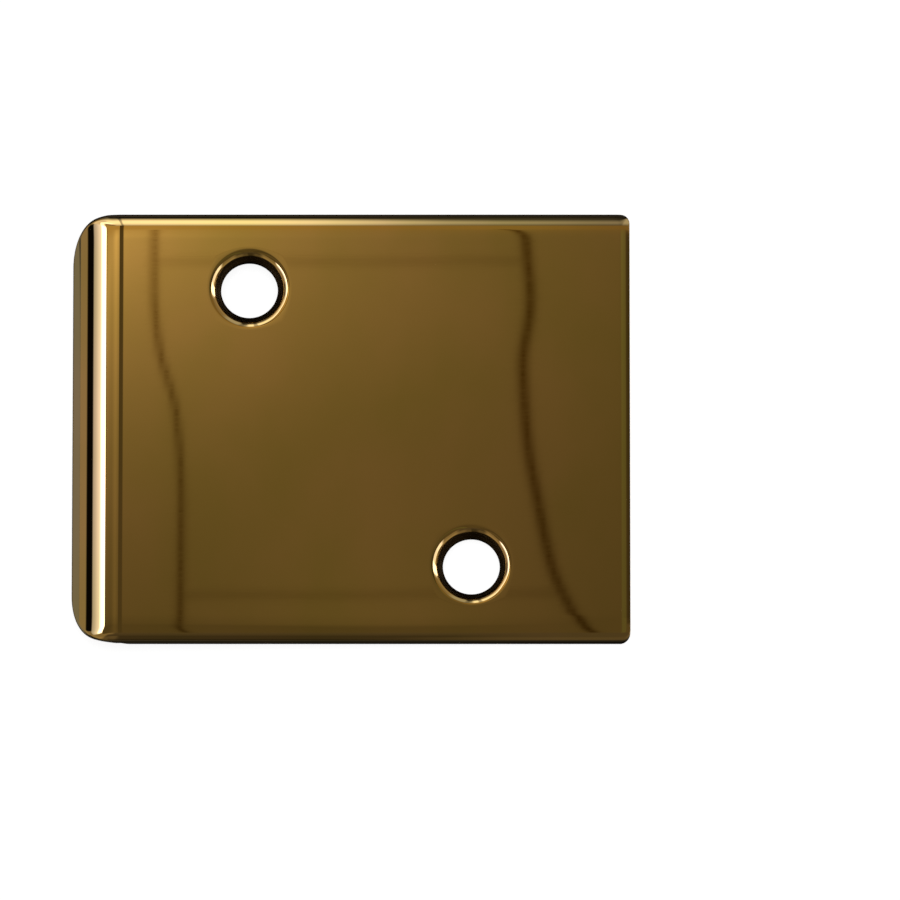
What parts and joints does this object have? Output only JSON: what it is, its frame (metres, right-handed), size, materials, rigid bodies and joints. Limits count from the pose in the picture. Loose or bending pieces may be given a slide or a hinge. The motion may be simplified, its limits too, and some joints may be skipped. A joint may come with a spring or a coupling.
{
  "type": "strike plate extender",
  "caption": "Polished brass plate with a lip rolled down along one end and countersunk screw holes on a diagonal; carries a door latch from the jamb's edge to its strike.",
  "frame": {"origin": "midway between the two screw holes, on the back of the flat, which is the mounting face", "axes": "+Z out of the polished show face, +X away from the lip and square to the bend, +Y along the bend"},
  "size_m": [0.054, 0.0422, 0.0037],
  "materials": {
    "polished_brass": "polished"
  },
  "bodies": {
    "root": {"extender_plate": "polished_brass"}
  },
  "joints": []
}
